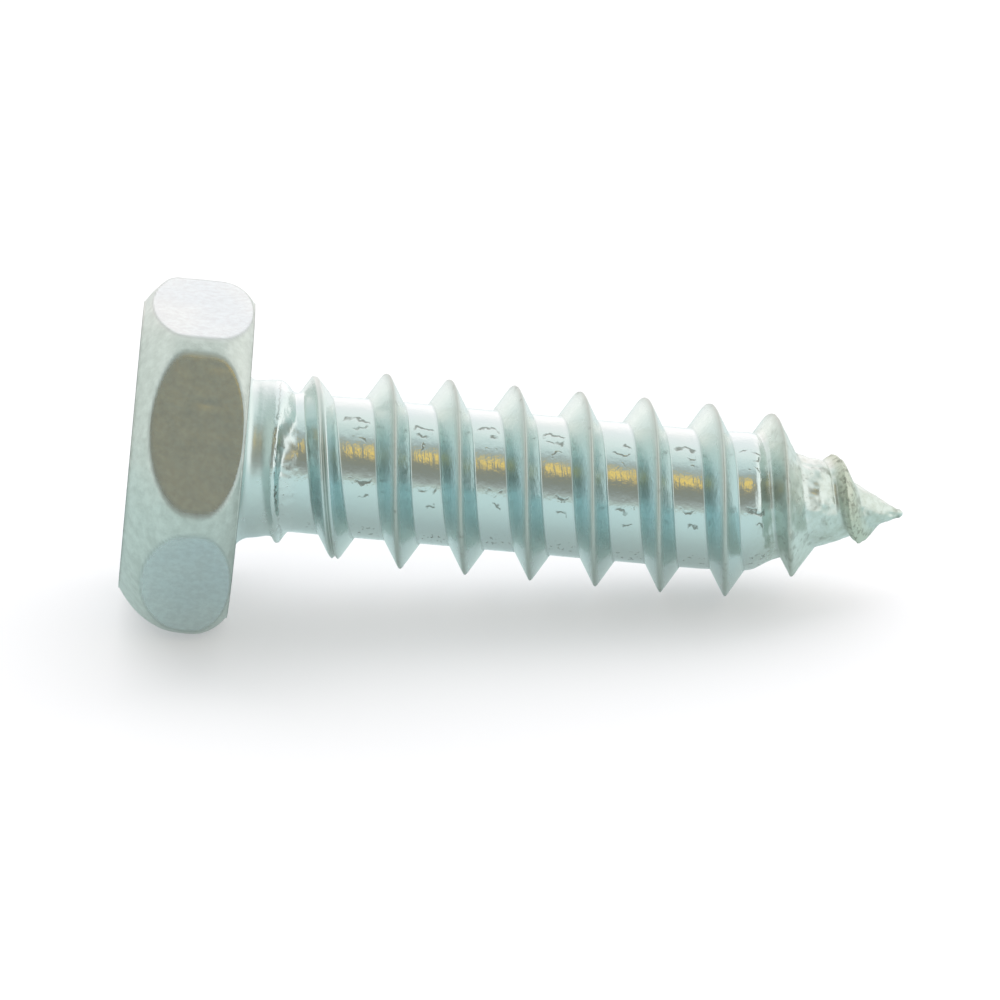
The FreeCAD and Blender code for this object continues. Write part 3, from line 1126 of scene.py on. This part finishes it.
class ScrewStageSettings(bpy.types.PropertyGroup):
    camera_elevation: angle("Camera elevation", "How far the camera looks down", 23.15)
    camera_azimuth: angle("Camera azimuth", "How far the camera stands off the screw's side", 1.50)
    camera_roll: angle("Camera roll", "Turn of the picture", -0.76)
    camera_distance: length("Camera distance", "From the bearing face to the camera", 120.14)
    lens: number("Lens", "Focal length on a 36 mm sensor", 177.9, min=1, subtype="DISTANCE_CAMERA")
    aim_right: length("Aim right", "How far the bearing face lies left of the picture's middle", 6.298)
    aim_up: length("Aim up", "How far the bearing face lies above the picture's middle", 0.990)
    back_light: number("Back light", "Strength of the broad light from behind", 1.9, min=0)
    back_light_width: angle("Back light width", "How wide that light is, seen from the screw", 90)
    back_light_slant: angle("Back light slant", "How far it leans to the back from straight above", 52)


def make_floor(scene):
    size = FLOOR_HALF_SIZE
    corners = [(-size, -size, 0), (size, -size, 0), (size, size, 0), (-size, size, 0)]
    mesh = bpy.data.meshes.new("floor")
    mesh.from_pydata(corners, [], [(0, 1, 2, 3)])
    mesh.materials.append(pale_floor(scene.screw_colours))
    floor = bpy.data.objects.new("floor", mesh)
    scene.collection.objects.link(floor)


def make_light(scene):
    """Broad light from behind and above, which isn't mirrored in the metal."""
    lamp = bpy.data.lights.new("soft_light_behind", "SUN")
    lamp.energy = scene.screw_stage.back_light
    lamp.angle = scene.screw_stage.back_light_width
    behind = bpy.data.objects.new("soft_light_behind", lamp)
    behind.rotation_euler = (-scene.screw_stage.back_light_slant, 0, 0)
    behind.visible_glossy = False
    scene.collection.objects.link(behind)


def make_camera(scene):
    """Camera at its own distance from the bearing face, which it sees a little off its picture's middle."""
    setting = scene.screw_stage
    e, a, roll = setting.camera_elevation, setting.camera_azimuth, setting.camera_roll
    look = Vector((math.sin(a) * math.cos(e), math.cos(a) * math.cos(e), -math.sin(e)))
    level = Vector((math.cos(a), -math.sin(a), 0))
    upright = level.cross(look)
    right = math.cos(roll) * level + math.sin(roll) * upright
    top = math.cos(roll) * upright - math.sin(roll) * level
    data = bpy.data.cameras.new("camera")
    data.sensor_width = SENSOR_WIDTH
    data.lens = setting.lens
    data.clip_start = CLIP_START
    camera = bpy.data.objects.new("camera", data)
    scene.collection.objects.link(camera)
    aim = Frame().origin + setting.aim_right * right - setting.aim_up * top
    camera.matrix_world = Matrix((right, top, -look)).transposed().to_4x4()
    camera.matrix_world.translation = aim - setting.camera_distance * look
    scene.camera = camera


class SCREW_OT_stage(bpy.types.Operator):
    """Make the pale floor, the soft studio light and the camera"""

    bl_idname = "screw.stage"
    bl_label = "Stage"

    def execute(self, context):
        scene = context.scene
        make_floor(scene)
        make_light(scene)
        scene.world = studio_world()
        make_camera(scene)
        scene.view_settings.view_transform = "Standard"
        return {"FINISHED"}


GROUPS = {
    "screw_head": ScrewHeadSizes,
    "screw_shank": ScrewShankSizes,
    "screw_thread": ScrewThreadSizes,
    "screw_colours": ScrewColours,
    "screw_stage": ScrewStageSettings,
}


class SCREW_PT_panel(bpy.types.Panel):
    """Lists what builds the screw and its stage"""

    bl_idname = "SCREW_PT_panel"
    bl_label = "Sheet Metal Screw"
    bl_space_type = "VIEW_3D"
    bl_region_type = "UI"
    bl_category = "Screw"

    def draw(self, context):
        for name in GROUPS:
            group = getattr(context.scene, name)
            box = self.layout.box()
            box.label(text=name.removeprefix("screw_").capitalize())
            for setting in group.__annotations__:
                box.prop(group, setting)
        self.layout.operator(SCREW_OT_body.bl_idname)
        self.layout.operator(SCREW_OT_stage.bl_idname)


CLASSES = (*GROUPS.values(), SCREW_OT_body, SCREW_OT_stage, SCREW_PT_panel)


def register():
    for made in CLASSES:
        bpy.utils.register_class(made)
    for name, group in GROUPS.items():
        setattr(bpy.types.Scene, name, PointerProperty(type=group))


def unregister():
    for name in GROUPS:
        delattr(bpy.types.Scene, name)
    for made in reversed(CLASSES):
        bpy.utils.unregister_class(made)


def main():
    register()
    bpy.ops.screw.body()
    bpy.ops.screw.stage()


if __name__ == "__main__":
    main()
